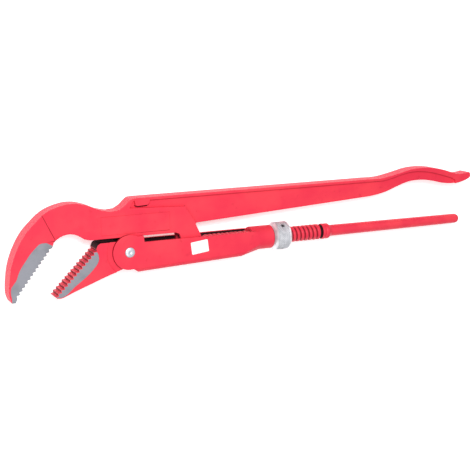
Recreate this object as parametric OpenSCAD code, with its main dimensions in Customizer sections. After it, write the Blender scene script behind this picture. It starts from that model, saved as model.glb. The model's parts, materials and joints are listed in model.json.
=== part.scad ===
// Swedish-pattern pipe wrench with 45 degree jaws, for pipes up to 1 1/2 inch.
// Millimetres.  The wrench lies on its side: X runs along the threaded rod from the
// jaws to the handles, Y from the rod up to the upper leg, Z is the thickness.
// The modules draw around the handle hinge; placed() then puts the origin under
// the middle of the whole wrench, at the height of the surface it lies on.

/* [Overall] */
// Distance from the handle hinge to the tip of the upper handle
handle_len = 279; // [230:1:340]
// Distance from the handle hinge to the tip of the rod handle
rod_len = 271; // [220:1:330]
// Distance from the handle hinge to the back of the hook
head_len = 152.6; // [150:0.1:186]

/* [Upper leg] */
// Thickness of the forged upper leg
leg_thick = 14; // [11:0.1:18]
// Thickness of the web of the upper handle
web_thick = 9; // [8:0.1:10.8]
// Height of the top flange of the upper handle
flange_h = 2.4; // [1.6:0.1:3.2]
// Height of the back edge of the upper handle above the rod axis
back_y = 43.2; // [41:0.1:52]
// Extra thickness of the hook jaw on each side
hook_pad = 0.6; // [0.2:0.1:1.2]
// Thickness of the upper leg's two hinge ears, each
ear_t = 3.5; // [2.5:0.1:4]

/* [Teeth] */
// Number of teeth on the hook jaw
hook_teeth = 13; // [8:1:16]
// Number of teeth on the lower jaw
jaw_teeth = 14; // [8:1:17]
// Depth of the teeth
tooth_h = 1.9; // [1:0.1:2.4]

/* [Lower jaw] */
// Distance from the handle hinge to the jaw pin
jaw_pin_x = 54.3; // [50:0.1:60]
// Diameter of the jaw pin
jaw_pin_d = 8.4; // [6:0.1:10.4]
// Width of the toothed part of the lower jaw
jaw_thick = 16; // [14.8:0.1:20]
// Diameter of the guide pin in the jaw's tongue
guide_pin_d = 5; // [4:0.1:6]
// Thickness of the jaw's guide tongue
tongue_t = 6.4; // [5:0.1:7]

/* [Yoke] */
// Sheet thickness of the yoke
sheet = 2.7; // [2:0.1:3.4]
// Outer radius of the yoke's round ears, around the jaw pin
ear_r = 14.3; // [12:0.1:16]
// Distance from the handle hinge to the end of the yoke's tube
tube_end = 75.8; // [70:0.2:90]

/* [Rod and nut] */
// Outside diameter of the rod's thread
thread_d = 13.6; // [10:0.1:16.4]
// Pitch of the thread
pitch = 4; // [3:0.5:5]
// Depth of the thread grooves
thread_h = 1.5; // [0.8:0.1:1.9]
// Diameter of the rod handle where it leaves the collar
grip_d = 9.8; // [8:0.1:12]
// Diameter of the rod handle near its tip
grip_tip_d = 8.6; // [7:0.1:10]
// Diameter of the adjusting nut
nut_d = 24; // [22:0.5:30]
// Length of the knurled part of the nut
nut_len = 14.8; // [12:0.2:20]
// Diameter of the handle hinge pin
hinge_pin_d = 7; // [5:0.1:8.4]

/* [Label] */
// Length of the blank label on the yoke
label_l = 15.2; // [8:0.1:20]
// Height of the blank label on the yoke
label_h = 10.3; // [6:0.1:12]

/* [Hidden] */
$fn = 96;
far = 400;               // longer than anything it cuts

// clearances
side_gap = 0.3;          // yoke cheek to the upper leg, each side
jaw_gap = 0.2;           // yoke cheek to the lower jaw's tang, each side
pin_gap = 0.05;          // radial, in every hole that a pin turns in
slot_gap = 0.4;          // tongue to the sides of the guide slot
pin_end_gap = 0.2;       // guide pin to the ends of its groove
swing_gap = 1.8;         // guide pin to the groove, above and below: the jaw's swing needs it
rod_gap = 0.2;           // rod to the yoke's tube, radial
nut_gap = 0.1;           // rod to the nut's bore, radial

// travel that the guide slot leaves room for
travel_open = 24;
travel_close = 14;
swing_run = 3;           // extra length of the slot and its groove, for the jaw's swing
tongue_root = 8;         // how far the tongue's root reaches behind the guide pin, past swing_run

// yoke
yoke_in = max(leg_thick, thread_d) + 2 * side_gap;
yoke_out = yoke_in + 2 * sheet;
tube_r = yoke_out / 2;
bend_r = sheet + 2.2;    // outside of the bends between the cheeks and the bottom
yoke_top = 7.4;          // cheek edge behind the ears, above the rod axis
ear_top = 12.6;          // cheek edge beside the jaw pin
step_x = -jaw_pin_x + 12; // where the cheek steps down from the ears
web_x = -jaw_pin_x + 8.5; // front lip of the yoke's bottom
lip_y = -(ear_r + 3.1);  // underside of the yoke's bottom at its front lip
neck_x = tube_end - 30;  // where the bottom starts to rise to the tube
tube_x = tube_end - 12;  // where the bottom has closed to the tube
open_x = tube_end - 20;  // where the yoke's open top ends and the tube starts
cap_y = 3;               // before tube_x only the tube's top is round, from this height up
floor_y = -13.4;         // underside of the bottom where it starts to rise to the tube
bottom_slope = atan((floor_y - lip_y) / (neck_x - web_x));
neck_r = tube_r + 4.6;   // reaches the corners of the square section

// nut
nut_x = tube_end + 1.6;  // left face of the knurled part
boss_r = thread_d / 2 + 1.7;
boss_len = 11;           // how far the boss reaches to the left of the knurled part
chamfer = 1.4;
tommy_n = 3;             // holes for a tommy bar
tommy_d = 3.6;
tommy_deep = 3;
knurl_n = 36;            // grooves of the knurl
knurl_w = 1.1;           // side of the square that cuts a groove
knurl_edge = 2.6;        // plain rim left at each end of the knurl
ring_x = tube_end - 4;
ring_w = 1.2;
ring_cut = 0.8;          // depth of the ring's groove in the nut's boss
ring_rim = 0.9;          // height of the ring's groove in the yoke's tube
ring_gap = 0.05;         // ring to the sides of its groove
ring_deep = 0.15;        // ring to the bottom of its groove in the boss

// upper leg
guide_y = 12.2;          // lower edge of the head, which the jaw slides under
tail_r = 9;              // round end of the tail, around the hinge
eye_r = 8.8;
eye_clear = 1;           // rod's eye to the bottom of the tail's slot
eye_t = leg_thick - 2 * ear_t - 2 * jaw_gap;
panel_cut = 0.25;        // sunk panel on the side of the head
groove_wall = 1.6;       // metal left outside the guide pin's groove
guide_pin_l = leg_thick - 2 * (groove_wall + pin_end_gap);

// lower jaw
pin = [-jaw_pin_x, 0];
key = [-jaw_pin_x - 21.7, guide_y + 6.8]; // guide pin
tongue_r = guide_pin_d / 2 + 2.1;
tang_t = yoke_in - 2 * jaw_gap;
tang_r = 13;
shoulder_r = ear_r + 4.4; // the wide part of the jaw starts outside this circle

// rod
thread_from = 17;
thread_to = 122.2;
collar_from = 125.4;
collar_to = 131.8;

// label
label_t = 0.25;
label_at = [6.4, -1];    // middle of the label
label_turn = 7;

// middle of the whole wrench
wave_rise = 7.2;         // top of the handle's wave, above back_y
jaw_drop = 32;           // lowest point of the lower jaw, below the rod axis
mid_x = (handle_len - head_len) / 2;
mid_y = (back_y + wave_rise - jaw_drop) / 2;
rest_z = max(nut_d, yoke_out) / 2;

RED = "crimson";
STEEL = "silver";

// a smooth curve through points, n steps to each stretch
function bend(p, i, t) =
    let (a = p[max(i - 1, 0)], b = p[i], c = p[i + 1], d = p[min(i + 2, len(p) - 1)])
    0.5 * (2 * b + (c - a) * t + (2 * a - 5 * b + 4 * c - d) * t * t
           + (3 * b - a - 3 * c + d) * t * t * t);
function curve(p, n = 5) =
    concat([for (i = [0:len(p) - 2]) for (k = [0:n - 1]) bend(p, i, k / n)],
           [p[len(p) - 1]]);
function arc(c, r, from, to, n = 12) =
    [for (k = [0:n]) let (a = from + (to - from) * k / n) c + r * [cos(a), sin(a)]];
// saw teeth from a to b, cut to the left of that direction
function saw(a, b, n, h) =
    let (u = (b - a) / n, side = [-u.y, u.x] / norm(u))
    [for (i = [0:n - 1]) each [a + u * i, a + u * (i + 0.62) + side * h]];
function moved(p, d) = [for (q = p) q + d];

module placed() translate([-mid_x, -mid_y, rest_z]) children();
module slab(points, t) translate([0, 0, -t / 2]) linear_extrude(t) polygon(points);
module peg(c, d, l) translate([c.x, c.y, -l / 2]) cylinder(d = d, h = l);
module along_x(from, r, l) translate([from, 0, 0]) rotate([0, 90, 0]) cylinder(r = r, h = l);

// ---- upper leg: hook jaw, head and handle in one forging
head_shift = [152.6 - head_len, 0];
back_shift = [0, back_y - 43.2];
hook_top = [-117.3, 8.9] + head_shift;
hook_low = [-146.4, -28.4] + head_shift;
hook_back = moved(curve([[-150.8, -31.6], [-152.6, -25.5], [-152, -14], [-150.1, -3],
    [-146, 8.5], [-139.4, 20.2], [-131.4, 28.8], [-121.5, 37.1], [-109, 41.6], [-98, 42.5],
    [-87.5, 40], [-78, 35.9], [-69, 33.8]]), head_shift);
throat = concat([[-86, guide_y]],
    moved(curve([[-91, 13.4], [-96, 16.7], [-102, 18.5], [-108, 17.8], [-113, 15.4],
                 [-116, 13.2]]), head_shift));
nose = moved(curve([[-62.5, 34.3], [-57.5, 37.1], [-54.2, 40.2], [-50.8, 42.7], [-45.5, 43.2]]),
    back_shift);
tip_shift = [handle_len - 279, 0];
wave_over = moved(curve([[150, 43.6], [168, 43.7], [184, 43.8], [200, 46.6], [214, 49.6],
    [226, 50.4], [238, 49.5], [250, 46.9], [262, 43.1], [268, 42.2], [274, 42.7],
    [277.6, 43.2], [279, 41.2]]), tip_shift + back_shift);
wave_under = moved(curve([[279, 41.2], [278.6, 39], [276.2, 37.2], [270, 35.2], [261, 33.8],
    [250, 34.8], [240, 37.2], [229, 39], [217, 39], [207, 37], [197, 33.6], [187, 30.5],
    [172, 28.1], [150, 27]]), tip_shift + back_shift);
belly = curve([wave_under[len(wave_under) - 1], [96, 23.7] + back_shift / 2, [49, 21.1],
    [4.2, 18.3]]);
tail = concat([[9, 8.2]], arc([0, 0], tail_r, 0, -180, 24),
    [[-9, 7], [-10.2, 10.8], [-13.5, guide_y]]);
leg_outline = concat(hook_back, nose, wave_over, wave_under, belly, tail, throat,
    saw(hook_top, hook_low, hook_teeth, -tooth_h), [hook_low, [-147.8, -31.8] + head_shift]);

// underside of the top flange, from the nose to where it fades out near the tip
flange_line = concat([[-49.5, back_y - flange_h]],
    moved(curve([[150, 43.6], [176, 43.7], [187, 44.1], [197, 46.2], [208, 48.8], [218, 49.8],
                 [228, 49.3], [239, 47.3], [250, 44.2], [258, 41.7], [263, 38.8]]),
          tip_shift + back_shift - [0, flange_h]));
web_outline = concat(flange_line, [[258 + tip_shift.x, 20], [150, 10], [12, 10], [3.5, 20.5],
    [-4.8, 33.4], [-52.6, 35.4]]);

module guide_slot() {
    left = key.x - travel_close - tongue_r - swing_run;
    right = key.x + travel_open + tongue_root + swing_run;
    top = key.y + tongue_r + swing_gap + 0.6;
    half = guide_pin_d / 2 + swing_gap;
    slab([[left, 0], [right, 0], [right, top], [left, top]], tongue_t + 2 * slot_gap);
    from = key.x - travel_close - guide_pin_d / 2 - swing_run;
    to = key.x + travel_open + guide_pin_d / 2 + swing_run + 1;
    slab([[from, key.y - half], [to, key.y - half], [to, key.y + half], [from, key.y + half]],
         guide_pin_l + 2 * pin_end_gap);
}

module flange_lug() {
    for (side = [-1, 1]) translate([0, 0, side * (leg_thick + web_thick) / 4])
        slab([[-48.6, back_y - 1], [-47.9, back_y - 5.4], [-46.4, back_y - 6.6],
              [-37.6, back_y - 6.2], [-35.9, back_y - 4.8], [-34.8, back_y - 1]],
             (leg_thick - web_thick) / 2 + 0.8);
}

module upper_leg() color(RED) placed() difference() {
    union() {
        slab(leg_outline, leg_thick);
        intersection() {
            slab(leg_outline, leg_thick + 2 * hook_pad);
            slab(moved([[-170, -50], [-100, -50], [-114.8, 14.9], [-127, 39.5], [-134, 60],
                        [-170, 60]], head_shift), far);
        }
        flange_lug();
    }
    for (side = [-1, 1]) {
        difference() {
            translate([0, 0, side * (web_thick + far) / 2]) slab(web_outline, far);
            flange_lug();
        }
        translate([0, 0, side * (leg_thick + far - 2 * panel_cut) / 2])
            slab([[-77.3, 15], [-18.5, 15], [-18.5, 30], [-77.3, 30]], far);
    }
    guide_slot();
    slab([[-20, -20], [20, -20], [20, eye_r + eye_clear], [-20, eye_r + eye_clear]],
         leg_thick - 2 * ear_t);
    peg([0, 0], hinge_pin_d, far);
}

// ---- lower jaw: toothed jaw, tang on the jaw pin, tongue in the guide slot
jaw_top = [-81.8, 5.2];
jaw_low = [-116.8, -30.1];
tang_shift = pin + [54.3, 0];
jaw_outline = concat(
    saw(jaw_low, jaw_top, jaw_teeth, -tooth_h), [jaw_top],
    moved([[-80.4, 8.2], [-78.4, 9.4], [-66, 9.4], [-56, 8.6], [-46.5, 6.5]], tang_shift),
    arc(pin, tang_r, 34, -105, 16),
    moved(curve([[-60, -13.9], [-72.4, -17.7], [-88, -23.3], [-100.7, -27.9],
                 [-106.8, -30.4], [-111.3, -31.9], [-115, -31.7]]), tang_shift));

module lower_jaw() color(RED) placed() difference() {
    union() {
        difference() {
            slab(jaw_outline, jaw_thick);
            for (side = [-1, 1]) translate([0, 0, side * (tang_t + far) / 2])
                peg(pin, 2 * shoulder_r, far);
        }
        if (tang_t > jaw_thick) intersection() {
            slab(jaw_outline, tang_t);
            peg(pin, 2 * shoulder_r, far);
        }
        peg(key, 2 * tongue_r, tongue_t);
        slab([[key.x - 1, 7], key + [9.6, -12], key + [tongue_r, 0.4], key + [-tongue_r, -0.6]],
             tongue_t);
    }
    peg(pin, jaw_pin_d + 2 * pin_gap, far);
    peg(key, guide_pin_d, far);
}

// ---- yoke: bent sheet, two cheeks and a bottom that close into a tube
yoke_side = concat(
    arc(pin, ear_r, 62, 262, 30),
    [[web_x - 4, -ear_r + 0.2], [web_x - 2.4, lip_y + 1.2], [web_x - 0.6, lip_y],
     [neck_x, floor_y], [tube_x, -tube_r - 0.6], [tube_x, yoke_top],
     [step_x + 0.6, yoke_top], [step_x, ear_top]]);

// what the bend takes off a lower corner of the square slab, along the sloping bottom
module corner_cut(side)
    translate([web_x, lip_y, side * (yoke_out / 2 - bend_r)]) rotate([0, 0, bottom_slope])
        difference() {
            translate([-8, -far, side > 0 ? 0 : -far]) cube([far, far + bend_r, far]);
            translate([-9, bend_r, 0]) rotate([0, 90, 0]) cylinder(r = bend_r, h = far + 2);
        }

// all that lies outside the cone in which the square section closes to the tube
module neck_cut() difference() {
    translate([neck_x, -far / 2, -far / 2]) cube([tube_x - neck_x + 1, far, far]);
    translate([neck_x - 1, 0, 0]) rotate([0, 90, 0])
        cylinder(r1 = neck_r + 0.25, r2 = tube_r - 0.33, h = tube_x - neck_x + 2.2);
}

module yoke() color(RED) placed() difference() {
    union() {
        difference() {
            slab(yoke_side, yoke_out);
            for (side = [-1, 1]) corner_cut(side);
            neck_cut();
        }
        difference() {
            along_x(open_x, tube_r, tube_end - open_x);
            translate([open_x - 1, cap_y - far, -far / 2]) cube([tube_x - open_x + 1, far, far]);
        }
    }
    // room between the cheeks, open above and in front
    slab([[-far, far], [-far, -far], [web_x - 3.4, -far], [web_x - 1.2, lip_y + sheet],
          [neck_x, floor_y + sheet], [open_x - 4, -tube_r + sheet], [open_x, -thread_d / 2],
          [open_x, far]], yoke_in);
    along_x(neck_x, thread_d / 2 + rod_gap, far);
    along_x(nut_x - boss_len - 0.8, boss_r + rod_gap, far);
    along_x(ring_x - 0.1, boss_r + ring_rim, ring_w + 0.2);
    peg(pin, jaw_pin_d, far);
}

// ---- rod: eye, thread, collar and handle
thread_profile = concat(
    [[0, thread_from - 4], [5, thread_from - 4], [thread_d / 2, thread_from - 2]],
    [for (x = [thread_from:pitch:thread_to - pitch]) each
        [[thread_d / 2, x], [thread_d / 2 - thread_h, x + 0.27 * pitch],
         [thread_d / 2 - thread_h, x + 0.63 * pitch], [thread_d / 2, x + 0.9 * pitch]]],
    [[thread_d / 2, thread_to], [thread_d / 2 - thread_h - 0.4, thread_to + 0.5],
     [thread_d / 2 - thread_h - 0.4, collar_from - 0.4], [thread_d / 2, collar_from],
     [thread_d / 2, collar_from + 2.4], [thread_d / 2 - 0.7, collar_from + 2.9],
     [thread_d / 2 - 0.7, collar_from + 3.5], [thread_d / 2 - 0.1, collar_from + 4],
     [thread_d / 2 - 0.1, collar_to], [grip_d / 2, collar_to + 3],
     [grip_tip_d / 2, rod_len - grip_tip_d / 2]],
    [for (a = [15:15:75]) [grip_tip_d / 2 * cos(a), rod_len - grip_tip_d / 2 * (1 - sin(a))]],
    [[0, rod_len]]);

module threaded_rod() color(RED) placed() difference() {
    union() {
        rotate([0, 90, 0]) rotate_extrude() polygon(thread_profile);
        peg([0, 0], 2 * eye_r, eye_t);
        slab([[0, -eye_r + 2], [thread_from, -eye_r + 3.6], [thread_from, eye_r - 3.6],
              [0, eye_r - 2]], eye_t);
    }
    peg([0, 0], hinge_pin_d + 2 * pin_gap, far);
}

// ---- adjusting nut: knurled, with a boss that turns in the yoke's tube
module adjusting_nut() color(STEEL) placed() difference() {
    rotate([0, 90, 0]) rotate_extrude() polygon([[0, nut_x - boss_len],
        [boss_r, nut_x - boss_len], [boss_r, ring_x], [boss_r - ring_cut, ring_x],
        [boss_r - ring_cut, ring_x + ring_w], [boss_r, ring_x + ring_w],
        [boss_r, nut_x - 0.8], [nut_d / 2 - chamfer - 0.8, nut_x],
        [nut_d / 2, nut_x + chamfer], [nut_d / 2, nut_x + nut_len - chamfer],
        [nut_d / 2 - chamfer, nut_x + nut_len], [0, nut_x + nut_len]]);
    along_x(0, thread_d / 2 + nut_gap, far);
    for (k = [0:tommy_n - 1]) translate([nut_x + nut_len / 2, 0, 0])
        rotate([k * 360 / tommy_n - 55, 0, 0])
            translate([0, 0, nut_d / 2 - tommy_deep]) cylinder(d = tommy_d, h = far);
    for (k = [0:knurl_n - 1]) rotate([k * 360 / knurl_n, 0, 0])
        translate([nut_x + knurl_edge, 0, nut_d / 2 + 0.25]) rotate([45, 0, 0])
            translate([0, -knurl_w / 2, -knurl_w / 2])
                cube([nut_len - 2 * knurl_edge, knurl_w, knurl_w]);
}

// ---- wire ring that keeps the nut in the tube
module nut_retaining_ring() color(STEEL) placed()
    rotate([0, 90, 0]) rotate_extrude() polygon([
        [boss_r - ring_cut + ring_deep, ring_x + ring_gap],
        [boss_r + ring_rim, ring_x + ring_gap],
        [boss_r + ring_rim, ring_x + ring_w - ring_gap],
        [boss_r - ring_cut + ring_deep, ring_x + ring_w - ring_gap]]);

// ---- pins
module jaw_pin() color(STEEL) placed() difference() {
    l = yoke_out / 2 + 0.8;
    translate([pin.x, pin.y, 0]) rotate_extrude() polygon([[0, -l], [jaw_pin_d / 2 - 0.9, -l],
        [jaw_pin_d / 2, -l + 0.7], [jaw_pin_d / 2, l - 0.7], [jaw_pin_d / 2 - 0.9, l], [0, l]]);
    for (side = [-1, 1]) translate([0, 0, side * (far / 2 + l - 0.5)]) peg(pin, 2.4, far);
}
module handle_hinge_pin() color(STEEL) placed() peg([0, 0], hinge_pin_d, leg_thick - 0.4);
module guide_pin() color(STEEL) placed() peg(key, guide_pin_d, guide_pin_l);

// ---- plain label on the side of the yoke
module blank_label() color("white") placed()
    translate([label_at.x, label_at.y, yoke_out / 2]) rotate([0, 0, label_turn])
        translate([-label_l / 2, -label_h / 2, 0]) cube([label_l, label_h, label_t]);

upper_leg();
lower_jaw();
yoke();
threaded_rod();
adjusting_nut();
nut_retaining_ring();
jaw_pin();
handle_hinge_pin();
guide_pin();
blank_label();
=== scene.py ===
"""Swedish-pattern pipe wrench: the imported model's pieces with forged, turned and painted finishes."""
import json
import math

import bmesh
import bpy
from mathutils import Matrix, Vector


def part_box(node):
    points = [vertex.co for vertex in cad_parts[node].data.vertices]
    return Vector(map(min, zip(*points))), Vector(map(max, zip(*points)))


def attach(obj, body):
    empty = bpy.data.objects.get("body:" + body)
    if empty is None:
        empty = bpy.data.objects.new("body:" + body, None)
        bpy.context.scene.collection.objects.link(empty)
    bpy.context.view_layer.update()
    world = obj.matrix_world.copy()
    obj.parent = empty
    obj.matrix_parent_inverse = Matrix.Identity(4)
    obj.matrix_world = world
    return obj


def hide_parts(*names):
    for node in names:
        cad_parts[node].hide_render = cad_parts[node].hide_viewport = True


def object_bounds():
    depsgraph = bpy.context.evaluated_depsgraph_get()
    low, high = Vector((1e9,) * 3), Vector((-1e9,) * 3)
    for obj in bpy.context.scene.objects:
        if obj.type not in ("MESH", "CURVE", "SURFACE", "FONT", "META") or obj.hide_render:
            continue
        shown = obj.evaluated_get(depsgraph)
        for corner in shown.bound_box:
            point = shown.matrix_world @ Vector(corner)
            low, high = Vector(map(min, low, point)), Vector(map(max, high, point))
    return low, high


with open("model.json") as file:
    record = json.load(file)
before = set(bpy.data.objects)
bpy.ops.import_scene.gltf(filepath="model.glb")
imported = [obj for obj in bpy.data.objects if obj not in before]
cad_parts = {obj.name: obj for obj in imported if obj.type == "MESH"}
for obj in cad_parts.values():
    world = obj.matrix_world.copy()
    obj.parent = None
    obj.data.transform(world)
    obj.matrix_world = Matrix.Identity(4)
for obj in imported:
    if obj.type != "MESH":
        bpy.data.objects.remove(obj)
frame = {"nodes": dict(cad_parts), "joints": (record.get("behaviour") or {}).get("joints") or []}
cad_low, cad_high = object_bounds()
MM = 0.001

# The handle hinge, on the rod's axis at mid-thickness, is the point that the wrench is laid out from.
HINGE = Vector(next(j for j in frame["joints"] if j["name"] == "handle_hinge")["pos_m"])
JAW_PIN = Vector(next(j for j in frame["joints"] if j["name"] == "jaw_swing")["pos_m"])


def at(x, y, z=0.0):
    """A point in millimetres from the handle hinge, as a place in the frame."""
    return HINGE + Vector((x, y, z)) * MM


# ---------------------------------------------------------------- sizes, in millimetres

LEG_EDGE, JAW_EDGE, YOKE_EDGE = 0.4, 0.35, 0.4  # how much the sharp edges are rounded
LEG_HALF, WEB_HALF = 7.0, 4.5   # half the upper leg's thickness, and its web's
PANEL_HALF = 6.75               # the sunk panel on the head's side, above mid-thickness
HOOK_GROUND = 7.45              # ground faces, above mid-thickness
JAW_GROUND = 7.82
SLOT_HALF = 5.4                 # the slot inside the head reaches this far from mid-thickness
FOOT_DEEP, LUG_DEEP, PANEL_DEEP = 0.35, 0.3, 0.2  # creases of the forging
CHEEK_IN = 7.3                  # inner faces of the yoke's cheeks

THREAD_R, THREAD_DEEP, PITCH = 6.8, 1.5, 4.0
THREAD_FROM, THREAD_TO = 17.0, 122.2
CREST = 0.12                    # the thread's crest is rounded by this much

NUT_LENGTH, NUT_BOSS = 14.8, 10.8
KNURL_RIDGES, KNURL_PITCH, KNURL_DEEP = 44, 1.75, 0.55


# ---------------------------------------------------------------- shader maths

class Sock:
    """A node socket that Python's operators can work on; each operator adds the Math node it needs."""

    def __init__(self, tree, socket):
        self.tree, self.socket = tree, socket

    def _math(self, operation, *values):
        return add(self.tree, "ShaderNodeMath", {"operation": operation}, *values)

    def __add__(self, other):
        return self._math("ADD", self, other)

    def __sub__(self, other):
        return self._math("SUBTRACT", self, other)

    def __rsub__(self, other):
        return self._math("SUBTRACT", other, self)

    def __mul__(self, other):
        return self._math("MULTIPLY", self, other)

    def root(self):
        return self._math("SQRT", self)

    def step(self, low, high):
        """0 below low and 1 above high, smooth between; low above high turns it round."""
        return add(self.tree, "ShaderNodeMapRange", {"interpolation_type": "SMOOTHSTEP"},
                   self, low, high, 0.0, 1.0)

    __radd__ = __add__
    __rmul__ = __mul__


def add(tree, kind, settings=None, *values, out=0, **named):
    """Adds a node: its settings first, then its inputs by place and by name. Gives one output as a Sock."""
    node = tree.nodes.new(kind)
    for name, value in (settings or {}).items():
        setattr(node, name, value)
    pairs = list(enumerate(values)) + [(k.replace("_", " "), v) for k, v in named.items()]
    for key, value in pairs:
        if isinstance(value, Sock):
            tree.links.new(value.socket, node.inputs[key])
        elif value is not None:
            node.inputs[key].default_value = value
    return Sock(tree, node.outputs[out])


def mix(tree, amount, first, second):
    """first where amount is 0, second where it is 1; colours."""
    node = tree.nodes.new("ShaderNodeMix")
    node.data_type = "RGBA"
    colours = [s for s in node.inputs if s.type == "RGBA"]
    for socket, value in ((node.inputs[0], amount), (colours[0], first), (colours[1], second)):
        if isinstance(value, Sock):
            tree.links.new(value.socket, socket)
        else:
            socket.default_value = value
    return Sock(tree, next(s for s in node.outputs if s.type == "RGBA"))


def new_material(name):
    """A material with only its Principled shader and its output, and the object's own coordinates."""
    material = bpy.data.materials.new(name)
    material.use_nodes = True
    tree = material.node_tree
    shader = tree.nodes["Principled BSDF"]
    place = add(tree, "ShaderNodeTexCoord", out=3)
    return material, tree, shader, place


def feed(tree, shader, **inputs):
    for name, value in inputs.items():
        socket = shader.inputs[name.replace("_", " ")]
        if isinstance(value, Sock):
            tree.links.new(value.socket, socket)
        else:
            socket.default_value = value


def noise(tree, place, scale, detail=4.0, rough=0.55):
    return add(tree, "ShaderNodeTexNoise", None, Vector=place, Scale=scale, Detail=detail,
               Roughness=rough)


def bump(tree, height, strength, distance):
    return add(tree, "ShaderNodeBump", None, Height=height, Strength=strength, Distance=distance)


def around_rod(tree, place):
    """The place along the rod's axis and the distance from that axis."""
    parts = add(tree, "ShaderNodeSeparateXYZ", None, place).socket.node.outputs
    along, across, through = (Sock(tree, part) for part in parts)
    rise, depth = across - HINGE.y, through - HINGE.z
    return along, (rise * rise + depth * depth).root()


# ---------------------------------------------------------------- finishes

RED = (0.72, 0.028, 0.062, 1)
RED_WARM = (0.79, 0.044, 0.070, 1)
RED_DEEP = (0.36, 0.006, 0.022, 1)
# the darkest red: painted shade in creases and tooth undercuts, and the darker bottom of the thread
RED_CREASE = (0.20, 0.004, 0.015, 1)
STEEL = (0.27, 0.275, 0.31, 1)
STEEL_DARK = (0.19, 0.195, 0.22, 1)
STEEL_LIGHT = (0.36, 0.35, 0.39, 1)
ZINC = (0.80, 0.80, 0.84, 1)
ZINC_DULL = (0.60, 0.61, 0.65, 1)
KNURL_DARK = (0.10, 0.10, 0.12, 1)
TURNED = (0.74, 0.77, 0.82, 1)
TURNED_DULL = (0.55, 0.60, 0.68, 1)
# painted shade: near-black for slots, undercuts and inner walls
SHADE_BLACK_TONE = (0.010, 0.0015, 0.0025, 1)
SHADE_BLACK_RED_TONE = (0.045, 0.003, 0.007, 1)
VINYL_WHITE = (0.90, 0.90, 0.90, 1)
VINYL_AGED = (0.82, 0.82, 0.81, 1)


def red_enamel():
    """Thick stoved enamel over a forging: faint orange peel, shallow hammer marks, darker in the pits."""
    material, tree, shader, place = new_material("red_enamel")
    cloud = noise(tree, place, 30.0, 3.0)
    peel = noise(tree, place, 1100.0, 2.0, 0.4)
    scale_marks = noise(tree, place, 170.0, 4.0, 0.6)
    colour = mix(tree, cloud.step(0.35, 0.7), RED, RED_WARM)
    colour = mix(tree, scale_marks.step(0.58, 0.85) * 0.45, colour, RED_DEEP)
    feed(tree, shader, Base_Color=colour, Roughness=0.44 + cloud * 0.14,
         Normal=bump(tree, peel * 0.3 + scale_marks * 0.7, 0.32, 0.0007))
    shader.inputs["Specular IOR Level"].default_value = 0.25
    return material


def threaded_enamel():
    """The same enamel on the rod, darker towards the bottom of the thread."""
    material, tree, shader, place = new_material("threaded_enamel")
    along, radius = around_rod(tree, place)
    in_thread = (along.step(at(THREAD_FROM - 1, 0).x, at(THREAD_FROM + 0.5, 0).x)
                 * along.step(at(THREAD_TO + 1.3, 0).x, at(THREAD_TO + 0.3, 0).x))
    margin = 0.35  # not darkened within this of the crest, and fully darkened within this of the root
    groove = radius.step((THREAD_R - margin) * MM, (THREAD_R - THREAD_DEEP + margin) * MM) * in_thread
    cloud = noise(tree, place, 60.0, 3.0)
    peel = noise(tree, place, 900.0, 2.0, 0.4)
    colour = mix(tree, cloud.step(0.35, 0.7), RED, RED_WARM)
    colour = mix(tree, groove * 0.85, colour, RED_CREASE)
    feed(tree, shader, Base_Color=colour, Roughness=0.38 + cloud * 0.14 + groove * 0.2,
         Normal=bump(tree, peel, 0.2, 0.0005))
    shader.inputs["Specular IOR Level"].default_value = 0.4
    return material


def crease_painted_shade():
    """Painted shade: dark red for the corners and creases that forging leaves, where shade falls."""
    material, tree, shader, place = new_material("crease_painted_shade")
    fine = noise(tree, place, 500.0, 3.0)
    feed(tree, shader, Base_Color=mix(tree, fine.step(0.3, 0.8), RED_CREASE, RED_DEEP),
         Roughness=0.5 + fine * 0.2)
    shader.inputs["Specular IOR Level"].default_value = 0.25
    return material


def ground_steel():
    """Jaw sides ground flat after painting: fine parallel scratches and a few dark streaks."""
    material, tree, shader, place = new_material("ground_steel")
    across = add(tree, "ShaderNodeMapping", {"vector_type": "POINT"}, Vector=place,
                 Rotation=(0, 0, math.radians(48)), Scale=(1, 26, 26))
    lay = noise(tree, across, 130.0, 5.0, 0.65)
    stain = noise(tree, place, 90.0, 3.0)
    colour = mix(tree, stain.step(0.4, 0.75) * 0.7, STEEL, STEEL_DARK)
    colour = mix(tree, lay.step(0.55, 0.8) * 0.35, colour, STEEL_LIGHT)
    feed(tree, shader, Base_Color=colour, Metallic=0.25 + lay * 0.2, Roughness=0.5 + lay * 0.2,
         Normal=bump(tree, lay, 0.25, 0.0003))
    return material


def zinc_plate():
    """Bright zinc plate, a little cloudy, darker towards the bottom of the knurl."""
    material, tree, shader, place = new_material("zinc_plate")
    along, radius = around_rod(tree, place)
    low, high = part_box("adjusting_nut")
    outer = (high.z - low.z) / 2
    left, right = high.x - NUT_LENGTH * MM, high.x
    begins, whole = 1.4 * MM, 2.0 * MM  # where the knurl begins and is whole, in from each end
    knurl = along.step(left + begins, left + whole) * along.step(right - begins, right - whole)
    groove = radius.step(outer - 0.12 * MM, outer - 0.48 * MM) * knurl
    cloud = noise(tree, place, 260.0, 4.0)
    fine = noise(tree, place, 1800.0, 2.0)
    colour = mix(tree, cloud.step(0.35, 0.7), ZINC, ZINC_DULL)
    colour = mix(tree, groove * 0.7, colour, KNURL_DARK)
    feed(tree, shader, Base_Color=colour, Metallic=0.55 - groove * 0.3,
         Roughness=0.30 + cloud * 0.2 + groove * 0.2, Normal=bump(tree, fine, 0.15, 0.0002))
    return material


def bright_steel():
    """Turned pin ends: rings left by the tool, nearly white."""
    material, tree, shader, place = new_material("bright_steel")
    fine = noise(tree, place, 900.0, 3.0)
    colour = mix(tree, fine.step(0.3, 0.8), TURNED, TURNED_DULL)
    feed(tree, shader, Base_Color=colour, Metallic=0.6, Roughness=0.32 + fine * 0.15,
         Normal=bump(tree, fine, 0.12, 0.0002))
    return material


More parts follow.
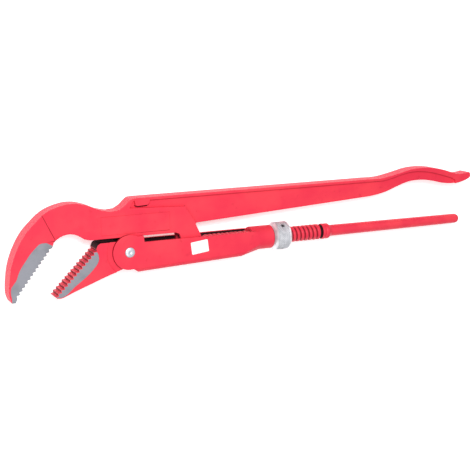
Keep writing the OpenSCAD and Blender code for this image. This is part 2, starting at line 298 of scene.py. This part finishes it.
def black_painted_shade():
    """Painted shade: near-black for the undercuts, slots and inner walls, where shade falls."""
    material, tree, shader, place = new_material("black_painted_shade")
    fine = noise(tree, place, 700.0, 3.0)
    feed(tree, shader, Base_Color=mix(tree, fine.step(0.3, 0.8), SHADE_BLACK_TONE, SHADE_BLACK_RED_TONE),
         Roughness=0.6 + fine * 0.2)
    shader.inputs["Specular IOR Level"].default_value = 0.2
    return material


def label_vinyl():
    """Plain white vinyl, a little greyed in patches."""
    material, tree, shader, place = new_material("label_vinyl")
    tint = noise(tree, place, 160.0, 2.0)
    feed(tree, shader, Base_Color=mix(tree, tint.step(0.3, 0.8), VINYL_WHITE, VINYL_AGED),
         Roughness=0.35 + tint * 0.15)
    return material


PAINT, ROD_PAINT, GROUND = red_enamel(), threaded_enamel(), ground_steel()
PLATE, BRIGHT, SHADE_BLACK, VINYL = zinc_plate(), bright_steel(), black_painted_shade(), label_vinyl()
SHADE_CREASE = crease_painted_shade()


# ---------------------------------------------------------------- mesh work


def linked(name, mesh):
    piece = bpy.data.objects.new(name, mesh)
    bpy.context.scene.collection.objects.link(piece)
    return piece


def prism(points, low, high):
    """A closed block over an outline (millimetres from the hinge), between two heights."""
    mesh = bmesh.new()
    lower = [mesh.verts.new(at(x, y, low)) for x, y in points]
    upper = [mesh.verts.new(at(x, y, high)) for x, y in points]
    mesh.faces.new(lower[::-1])
    mesh.faces.new(upper)
    for i in range(len(points)):
        j = (i + 1) % len(points)
        mesh.faces.new((lower[i], lower[j], upper[j], upper[i]))
    bmesh.ops.recalc_face_normals(mesh, faces=mesh.faces)
    return mesh


def as_mesh(name, mesh):
    data = bpy.data.meshes.new(name)
    mesh.to_mesh(data)
    mesh.free()
    return data


def cut(data, cutters, operation="DIFFERENCE"):
    """The mesh with each cutter taken away from it, or joined to it."""
    body = linked("work", data)
    tools = []
    for cutter in cutters:
        tool = linked("tool", as_mesh("tool", cutter))
        tools.append(tool)
        change = body.modifiers.new("cut", "BOOLEAN")
        change.operation, change.solver, change.object = operation, "EXACT", tool
    bpy.context.view_layer.update()
    graph = bpy.context.evaluated_depsgraph_get()
    done = bpy.data.meshes.new_from_object(body.evaluated_get(graph))
    for used in tools + [body]:
        bpy.data.objects.remove(used)
    return done


def reach(face, edge):
    """How far a face reaches away from one of its edges."""
    start = edge.verts[0].co
    along = (edge.verts[1].co - start).normalized()
    return max(((v.co - start) - along * (v.co - start).dot(along)).length for v in face.verts)


def ease_edges(mesh, width, segments=3, angle=35):
    """Rounds the edges that are sharper than angle and have room for it on both sides."""
    bmesh.ops.remove_doubles(mesh, verts=mesh.verts, dist=0.02 * MM)
    bmesh.ops.dissolve_degenerate(mesh, dist=0.1 * MM, edges=mesh.edges)
    bmesh.ops.dissolve_limit(mesh, angle_limit=math.radians(1.0), verts=mesh.verts,
                             edges=mesh.edges, use_dissolve_boundaries=False)
    room = 2.2 * width * MM
    sharp = [e for e in mesh.edges if e.calc_face_angle(0) > math.radians(angle)
             and min(reach(f, e) for f in e.link_faces) > room]
    bmesh.ops.bevel(mesh, geom=sharp, offset=width * MM, offset_type="OFFSET",
                    segments=segments, profile=0.5, affect="EDGES", clamp_overlap=False)


def finish_shading(mesh, sharp=38):
    bmesh.ops.triangulate(mesh, faces=[f for f in mesh.faces if len(f.verts) > 4])
    for face in mesh.faces:
        face.smooth = True
    for edge in mesh.edges:
        edge.smooth = edge.calc_face_angle(0) < math.radians(sharp)


def piece_from(name, data, body, slot, materials, *nodes):
    """Makes a piece of a finished mesh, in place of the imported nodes."""
    piece = linked(name, data)
    for material in materials:
        data.materials.append(material)
    even = piece.modifiers.new("even_shading", "WEIGHTED_NORMAL")
    even.keep_sharp = True
    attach(piece, body)
    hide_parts(*nodes)
    return piece


def node_mesh(node):
    data = frame["nodes"][node].data.copy()
    data.materials.clear()
    return data


def curve(points, steps=6):
    """A smooth line through the points."""
    line = []
    last = len(points) - 1
    for i in range(last):
        a, b, c, d = (Vector(points[k]) for k in (max(i - 1, 0), i, i + 1, min(i + 2, last)))
        for k in range(steps):
            t = k / steps
            line.append(0.5 * (2 * b + (c - a) * t + (2 * a - 5 * b + 4 * c - d) * t * t
                               + (3 * b - a - 3 * c + d) * t * t * t))
    return [tuple(p) for p in line] + [tuple(points[-1])]


def rectangle(left, foot, right, top):
    return [(left, foot), (right, foot), (right, top), (left, top)]


def both_sides(outline, low, high):
    """The same cutter above and below mid-thickness."""
    return [prism(outline, low, high), prism(outline, -high, -low)]


def mark_level(mesh, level, index):
    """Faces that lie flat at that height above or below mid-thickness take material index."""
    for face in mesh.faces:
        height = abs(face.calc_center_median().z - HINGE.z)
        if abs(face.normal.z) > 0.99 and abs(height - level * MM) < 0.01 * MM:
            face.material_index = index


def inside(x, y, outline):
    """Whether a point lies inside a closed outline."""
    crossings = 0
    for (ax, ay), (bx, by) in zip(outline, outline[1:] + outline[:1]):
        if (ay > y) != (by > y) and x < ax + (bx - ax) * (y - ay) / (by - ay):
            crossings += 1
    return crossings % 2 == 1


def mark_inside(mesh, outline, index, low, high):
    """Faces whose middle lies inside the outline, between two distances from mid-thickness."""
    for face in mesh.faces:
        centre = (face.calc_center_median() - HINGE) / MM
        if low <= abs(centre.z) <= high and inside(centre.x, centre.y, outline):
            face.material_index = index


# ---------------------------------------------------------------- forgings and sheet

def upper_leg():
    """Hook, head and handle: ground hook sides, creases of the forging with painted shade in them, and
    black painted shade inside the slot.
    """
    bound = curve([(-121.8, 13.6), (-127, 13.2), (-131.1, 9.9), (-134.9, 6), (-138.7, 0.9),
                   (-142.3, -4.1), (-144.6, -8.3), (-146.6, -13.5), (-149.1, -16.9),
                   (-151, -19.7), (-151.5, -23.9), (-150.8, -27.6)])
    ground = [(-110, 4), (-117.5, 11.2)] + bound + [(-151, -40), (-130, -40)]
    foot = [(-114.6, 14.4), (-114.1, 14.5), (-126.4, 39.6), (-126.9, 39.5)]
    lug_foot = [(-47.7, 37.4), (-46.3, 36.3), (-37.5, 36.7), (-35.6, 38.2), (-35.2, 37.5),
                (-37.4, 35.7), (-46.5, 35.3), (-48.4, 36.9)]
    slot = rectangle(-99, 10, 9, 28)
    left, right, low, high = -77.3, -18.5, 14.8, 30.05  # the sunk panel
    panel_edges = [rectangle(left, low, left + 0.4, high - 0.05),
                   rectangle(left, high - 0.35, right, high),
                   rectangle(left, low, right, low + 0.3)]
    cutters = both_sides(ground, HOOK_GROUND, HOOK_GROUND + 4)
    cutters += both_sides(foot, LEG_HALF - FOOT_DEEP, LEG_HALF + 3)
    cutters += both_sides(lug_foot, WEB_HALF - LUG_DEEP, 6.6)
    for edge in panel_edges:
        cutters += both_sides(edge, PANEL_HALF - PANEL_DEEP, PANEL_HALF + 1)
    data = cut(node_mesh("upper_leg"), cutters)
    mesh = bmesh.new()
    mesh.from_mesh(data)
    ease_edges(mesh, LEG_EDGE)
    finishes = [PAINT, GROUND, SHADE_BLACK, SHADE_CREASE]
    mark_inside(mesh, ground, finishes.index(GROUND), 0, HOOK_GROUND + 0.05)
    # painted shade: crease red along the hook's foot and under the lug
    mark_inside(mesh, foot, finishes.index(SHADE_CREASE), LEG_HALF - 0.6, LEG_HALF + 0.1)
    mark_inside(mesh, lug_foot, finishes.index(SHADE_CREASE), WEB_HALF - 0.4, WEB_HALF - 0.05)
    # painted shade: the slot's inner walls are black
    mark_inside(mesh, slot, finishes.index(SHADE_BLACK), 0, SLOT_HALF)
    finish_shading(mesh)
    piece_from("upper_leg_forging", as_mesh("upper_leg", mesh), "upper", "red_paint",
               finishes, "upper_leg")


def lower_jaw():
    """Toothed jaw with ground sides; the teeth keep their paint, with painted shade on the tooth undercuts
    and black painted shade on the top and the tongue.
    """
    bound = curve([(-82.7, 4.1), (-80.6, 1.4), (-79.8, -2.9), (-80.9, -6.6), (-84.1, -10.6),
                   (-88.8, -15.2), (-94.5, -19.6), (-100.5, -23.9), (-104.3, -27.3),
                   (-107.6, -29.9), (-111.3, -31.3), (-114.5, -31.2)])
    ground = bound + [(-122, -34), (-122, -26), (-86, 10)]
    data = cut(node_mesh("lower_jaw"), both_sides(ground, JAW_GROUND, JAW_GROUND + 4))
    mesh = bmesh.new()
    mesh.from_mesh(data)
    ease_edges(mesh, JAW_EDGE)
    finishes = [PAINT, GROUND, SHADE_BLACK, SHADE_CREASE]
    mark_level(mesh, JAW_GROUND, finishes.index(GROUND))
    tongue_foot, top_foot, teeth_right, teeth_low, teeth_high = 9.5, 5.6, -80, -31, 5
    for face in mesh.faces:
        centre = (face.calc_center_median() - HINGE) / MM
        tongue = centre.y > tongue_foot
        top = centre.y > top_foot and abs(centre.z) < 8 and face.normal.y > 0.3
        faces_left = face.normal.x < -0.8 and abs(face.normal.z) < 0.1
        undercut = faces_left and centre.x < teeth_right and teeth_low < centre.y < teeth_high
        # painted shade: black on the top and the tongue, crease red on the tooth undercuts
        if tongue or top:
            face.material_index = finishes.index(SHADE_BLACK)
        elif undercut:
            face.material_index = finishes.index(SHADE_CREASE)
    finish_shading(mesh)
    piece_from("lower_jaw_forging", as_mesh("lower_jaw", mesh), "jaw", "red_paint",
               finishes, "lower_jaw")


def yoke():
    """Bent sheet, painted outside, with black painted shade between the cheeks and in the tube, and painted
    shade on the ear's rim.
    """
    mesh = bmesh.new()
    mesh.from_mesh(node_mesh("yoke"))
    ease_edges(mesh, YOKE_EDGE)
    finishes = [PAINT, SHADE_BLACK, SHADE_CREASE]
    ear_right = -54
    for face in mesh.faces:
        centre = (face.calc_center_median() - HINGE) / MM
        inner_wall = abs(abs(centre.z) - CHEEK_IN) < 0.05 and abs(face.normal.z) > 0.9
        floor = abs(centre.z) < CHEEK_IN and face.normal.y > 0.5 and centre.y < 0
        ear_rim = abs(face.normal.z) < 0.1 and centre.x < ear_right
        # painted shade: black on the inner walls and the floor, crease red on the ear's rim
        if inner_wall or floor:
            face.material_index = finishes.index(SHADE_BLACK)
        elif ear_rim:
            face.material_index = finishes.index(SHADE_CREASE)
    finish_shading(mesh)
    piece_from("yoke_sheet", as_mesh("yoke", mesh), "yoke", "red_paint", finishes, "yoke")


# ---------------------------------------------------------------- turned pieces

def turned(rings, sides, closed=False):
    """Skins rings along the rod's axis. Each ring is (x, radius), and radius may be a function of the
    angle. Ends come to a point, or the last ring joins the first."""
    mesh = bmesh.new()
    rows = []
    for x, radius in rings:
        row = []
        for k in range(sides):
            angle = math.tau * k / sides
            r = radius(angle) if callable(radius) else radius
            row.append(mesh.verts.new(at(x, r * math.cos(angle), r * math.sin(angle))))
        rows.append(row)
    pairs = list(zip(rows, rows[1:])) + ([(rows[-1], rows[0])] if closed else [])
    for first, second in pairs:
        for k in range(sides):
            j = (k + 1) % sides
            mesh.faces.new((first[k], first[j], second[j], second[k]))
    if not closed:
        for row, x in ((rows[0], rings[0][0]), (rows[-1], rings[-1][0])):
            centre = mesh.verts.new(at(x, 0))
            for k in range(sides):
                mesh.faces.new((row[k], row[(k + 1) % sides], centre))
    bmesh.ops.recalc_face_normals(mesh, faces=mesh.faces)
    return mesh


def smooth(t):
    """0 up to 0 and 1 from 1 on, smooth between."""
    t = min(max(t, 0.0), 1.0)
    return t * t * (3 - 2 * t)


def thread_radius(x):
    """The thread at one station: a rounded trapezoid groove that runs out at both ends."""
    def radius(angle):
        phase = (x / PITCH - angle / math.tau) % 1.0
        groove = smooth((0.26 - abs(phase - 0.5)) / 0.16)
        run_out = smooth((x - THREAD_FROM) / 2) * smooth((THREAD_TO - x) / 1.5)
        crest = CREST * smooth((abs(phase - 0.5) - 0.22) / 0.28)
        return THREAD_R - CREST + crest - THREAD_DEEP * groove * run_out
    return radius


def threaded_rod():
    """Shank, long rounded thread, undercut, collar with a groove, and the tapering round grip."""
    end = (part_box("threaded_rod")[1].x - HINGE.x) / MM
    shank = 13.2
    rings = [(shank, 5.0), (shank + 0.4, 5.6), (shank + 2, 6.6), (shank + 2.8, 6.75)]
    steps = int((THREAD_TO - THREAD_FROM) / 0.33)
    for k in range(steps + 1):
        x = THREAD_FROM + (THREAD_TO - THREAD_FROM) * k / steps
        rings.append((x, thread_radius(x)))
    grip_r, tip_r = 4.93, 4.3
    rings += [(THREAD_TO + x, r) for x, r in (
        (0.15, 6.55), (0.3, 6.2), (0.45, 5.1), (0.8, 4.9), (2.6, 4.9), (2.85, 5.1), (3.0, 6.2),
        (3.2, 6.6), (3.5, 6.78), (5.4, 6.78), (5.7, 6.65), (6.0, 6.2), (6.5, 6.05), (6.9, 6.2),
        (7.2, 6.6), (7.5, 6.7), (9.2, 6.7), (9.6, 6.55), (10.1, 6.1), (10.9, 5.6), (11.8, 5.15),
        (13.0, grip_r))]
    grip = THREAD_TO + 13.0
    for k in range(1, 41):
        t = k / 40
        rings.append((grip + (end - tip_r - grip) * t, grip_r + (tip_r - grip_r) * t))
    for k in range(1, 9):
        angle = math.radians(90 * k / 8.4)  # stops short of the axis, so the end has a small flat
        rings.append((end - tip_r * (1 - math.sin(angle)), tip_r * math.cos(angle)))
    mesh = turned(rings, 72)
    eye = bmesh.new()
    eye.from_mesh(node_mesh("threaded_rod"))
    geometry = eye.verts[:] + eye.edges[:] + eye.faces[:]
    cut_line = bmesh.ops.bisect_plane(eye, geom=geometry, plane_co=at(shank + 1.4, 0),
                                      plane_no=(1, 0, 0), clear_outer=True)["geom_cut"]
    bmesh.ops.contextual_create(eye, geom=[g for g in cut_line if isinstance(g, bmesh.types.BMEdge)])
    bmesh.ops.recalc_face_normals(eye, faces=eye.faces)
    data = cut(as_mesh("rod", mesh), [eye], "UNION")
    mesh = bmesh.new()
    mesh.from_mesh(data)
    finishes = [ROD_PAINT, SHADE_BLACK]
    for face in mesh.faces:
        x = (face.calc_center_median().x - HINGE.x) / MM
        # painted shade: the undercut before the collar is black, and so are the shank and eye inside the
        # yoke
        in_undercut = THREAD_TO + 0.4 < x < THREAD_TO + 3.0
        if in_undercut or x < shank + 0.1:
            face.material_index = finishes.index(SHADE_BLACK)
    finish_shading(mesh, 50)
    piece_from("threaded_rod_turned", as_mesh("threaded_rod", mesh), "rod", "red_paint",
               finishes, "threaded_rod")


def knurl_radius(x, radius, deep):
    """Diamond knurl: two crossed sets of V grooves."""
    def at_angle(angle):
        turn = KNURL_RIDGES * angle / math.tau
        ridges = [1 - 2 * abs((turn + side * x / KNURL_PITCH) % 1.0 - 0.5) for side in (1, -1)]
        return radius - deep * max(ridges) ** 2
    return at_angle


def adjusting_nut():
    """Knurled ring with a bright chamfer at each end, three tommy holes and a boss; the boss and the holes'
    walls are black as painted shade.
    """
    low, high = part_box("adjusting_nut")
    outer = (high.z - low.z) / 2 / MM
    right = (high.x - HINGE.x) / MM
    left = right - NUT_LENGTH
    middle = left + NUT_LENGTH / 2
    bore = THREAD_R + 0.12
    boss = 8.5
    boss_end = left - NUT_BOSS
    rings = [(boss_end, bore), (boss_end, boss - 0.3), (boss_end + 0.3, boss), (left - 0.9, boss),
             (left - 0.75, boss + 0.15), (left, outer - 2.2), (left + 0.1, outer - 1.9),
             (left + 1.1, outer - 0.6), (left + 1.35, outer - 0.3)]
    start, stop = left + 1.6, right - 1.8
    steps = 44
    for k in range(steps + 1):
        x = start + (stop - start) * k / steps
        fade = smooth(k / 2) * smooth((steps - k) / 2)
        rings.append((x, knurl_radius(x, outer, KNURL_DEEP * fade)))
    rings += [(right - 1.5, outer - 0.2), (right - 1.3, outer - 0.4), (right - 0.2, outer - 1.5),
              (right, outer - 1.8), (right, bore + 0.7), (right - 0.5, bore)]
    mesh = turned(rings, 270, closed=True)
    holes = []
    hole_r, hole_deep = 1.8 * MM, 6 * MM
    for k in range(3):
        hole = bmesh.new()
        bmesh.ops.create_cone(hole, cap_ends=True, segments=28, radius1=hole_r, radius2=hole_r,
                              depth=hole_deep)
        turn = Matrix.Rotation(math.radians(120 * k - 55), 4, "X")
        hole.transform(Matrix.Translation(at(middle, 0)) @ turn
                       @ Matrix.Translation((0, 0, outer * MM)))
        holes.append(hole)
    data = cut(as_mesh("nut", mesh), holes)
    mesh = bmesh.new()
    mesh.from_mesh(data)
    finishes = [PLATE, SHADE_BLACK]
    for face in mesh.faces:
        centre = face.calc_center_median()
        x = (centre.x - HINGE.x) / MM
        r = math.hypot(centre.y - HINGE.y, centre.z - HINGE.z) / MM
        in_hole = abs(x - middle) < 2 and bore + 0.5 < r < outer - 1.2
        # painted shade: the boss and the tommy holes' walls are black
        if x < left - 0.8 or in_hole:
            face.material_index = finishes.index(SHADE_BLACK)
    finish_shading(mesh, 60)
    piece_from("adjusting_nut_knurled", as_mesh("adjusting_nut", mesh), "nut", "zinc_plate",
               finishes, "adjusting_nut")


def jaw_pin():
    """Rivet with a low dome and a small centre mark at both ends."""
    low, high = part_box("jaw_pin")
    half = (high.z - low.z) / 2 / MM
    radius = (high.x - low.x) / 2 / MM
    end = [(0.0, half - 0.42), (0.6, half - 0.38), (0.95, half - 0.1), (1.25, half),
           (2.2, half - 0.03), (radius - 0.9, half - 0.28), (radius - 0.3, half - 0.6),
           (radius, half - 1.0)]
    mesh = bmesh.new()
    sides = 64
    rows = []
    for r, z in end + [(r, -z) for r, z in reversed(end)]:
        if r == 0:
            rows.append([mesh.verts.new(JAW_PIN + Vector((0, 0, z)) * MM)])
            continue
        rows.append([mesh.verts.new(JAW_PIN + Vector((r * math.cos(math.tau * k / sides),
                                                      r * math.sin(math.tau * k / sides), z)) * MM)
                     for k in range(sides)])
    for first, second in zip(rows, rows[1:]):
        for k in range(sides):
            j = (k + 1) % sides
            corners = [first[k % len(first)], first[j % len(first)],
                       second[j % len(second)], second[k % len(second)]]
            mesh.faces.new(list(dict.fromkeys(corners)))
    bmesh.ops.recalc_face_normals(mesh, faces=mesh.faces)
    finish_shading(mesh, 60)
    piece_from("jaw_pin_rivet", as_mesh("jaw_pin", mesh), "yoke", "bright_steel", [BRIGHT], "jaw_pin")


def hidden_steel():
    """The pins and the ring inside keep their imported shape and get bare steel."""
    for node in ("handle_hinge_pin", "guide_pin", "nut_retaining_ring"):
        data = frame["nodes"][node].data
        data.materials.clear()
        data.materials.append(BRIGHT)


def blank_label():
    """A vinyl label with rounded corners, turned a little on the yoke's side."""
    low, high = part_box("blank_label")
    centre = (low + high) / 2
    long, tall, corner, turn = 15.2, 10.3, 0.8, math.radians(7)
    outline = []
    for x, y, start in ((1, 1, 0), (-1, 1, 90), (-1, -1, 180), (1, -1, 270)):
        for k in range(6):
            angle = math.radians(start + 90 * k / 5)
            outline.append(((long / 2 - corner) * x + corner * math.cos(angle),
                            (tall / 2 - corner) * y + corner * math.sin(angle)))
    mesh = bmesh.new()
    rows = []
    bevel = 0.08
    for inset, z in ((0, low.z), (0, high.z - bevel * MM), (bevel, high.z)):
        scale = 1 - inset / (tall / 2)
        rows.append([mesh.verts.new(Vector((
            centre.x + (x * math.cos(turn) - y * math.sin(turn)) * scale * MM,
            centre.y + (x * math.sin(turn) + y * math.cos(turn)) * scale * MM, z)))
            for x, y in outline])
    for first, second in zip(rows, rows[1:]):
        for k in range(len(outline)):
            j = (k + 1) % len(outline)
            mesh.faces.new((first[k], first[j], second[j], second[k]))
    mesh.faces.new(rows[0][::-1])
    mesh.faces.new(rows[-1])
    bmesh.ops.recalc_face_normals(mesh, faces=mesh.faces)
    finish_shading(mesh, 50)
    piece_from("blank_label_vinyl", as_mesh("blank_label", mesh), "yoke", "label_white", [VINYL],
               "blank_label")


# ---------------------------------------------------------------- floor, light, camera

def area_light(name, place, aim, size, power):
    light = bpy.data.lights.new(name, "AREA")
    light.shape, light.size, light.energy = "SQUARE", size, power
    lamp = bpy.data.objects.new(name, light)
    bpy.context.scene.collection.objects.link(lamp)
    lamp.location = place
    lamp.rotation_mode = "QUATERNION"
    lamp.rotation_quaternion = (Vector(place) - Vector(aim)).to_track_quat("Z", "Y")


def studio():
    size = 4.0
    mesh = bmesh.new()
    corners = [mesh.verts.new((x * size, y * size, 0)) for x, y in ((-1, -1), (1, -1), (1, 1), (-1, 1))]
    mesh.faces.new(corners)
    floor = linked("floor", as_mesh("floor", mesh))
    floor.location.z = cad_low.z - 0.0005
    material, tree, shader, place = new_material("pale_floor")
    tint = noise(tree, place, 3.0, 2.0)
    feed(tree, shader, Base_Color=mix(tree, tint, (0.92, 0.92, 0.92, 1), (0.95, 0.95, 0.95, 1)))
    shader.inputs["Roughness"].default_value = 0.9
    shader.inputs["Specular IOR Level"].default_value = 0.2
    shader.inputs["Emission Color"].default_value = (1, 1, 1, 1)
    shader.inputs["Emission Strength"].default_value = 0.45
    floor.data.materials.append(material)
    world = bpy.data.worlds.new("studio")
    bpy.context.scene.world = world
    world.use_nodes = True
    sky = world.node_tree.nodes["Background"].inputs
    sky["Color"].default_value = (1, 1, 1, 1)
    sky["Strength"].default_value = 0.4
    area_light("key", (-0.34, 0.48, 1.06), (0, 0, 0), 0.4, 12.8)
    area_light("fill", (-0.5, -0.5, 1.0), (0, 0, 0), 1.0, 4.0)


def camera():
    """Well to the left of square-on and a little above the rod, so the wrench runs away to the right."""
    turn, lift, distance = math.radians(25), math.radians(11), 0.95
    aim = at(43, 4)
    back = Vector((-math.sin(turn) * math.cos(lift), math.sin(lift), math.cos(turn) * math.cos(lift)))
    up = Vector((0, 1, 0))
    up = (up - up.dot(back) * back).normalized()
    tilt = Matrix.Rotation(math.radians(-0.42), 3, back)
    right, up = tilt @ up.cross(back), tilt @ up
    data = bpy.data.cameras.new("camera")
    data.sensor_width = 36
    data.lens = 86.25
    eye = bpy.data.objects.new("camera", data)
    bpy.context.scene.collection.objects.link(eye)
    eye.rotation_mode = "QUATERNION"
    eye.rotation_quaternion = Matrix((right, up, back)).transposed().to_quaternion()
    eye.location = aim + back * distance
    bpy.context.scene.camera = eye


camera()
upper_leg()
lower_jaw()
yoke()
threaded_rod()
adjusting_nut()
jaw_pin()
hidden_steel()
blank_label()
studio()
bpy.context.scene.view_settings.view_transform = "Standard"
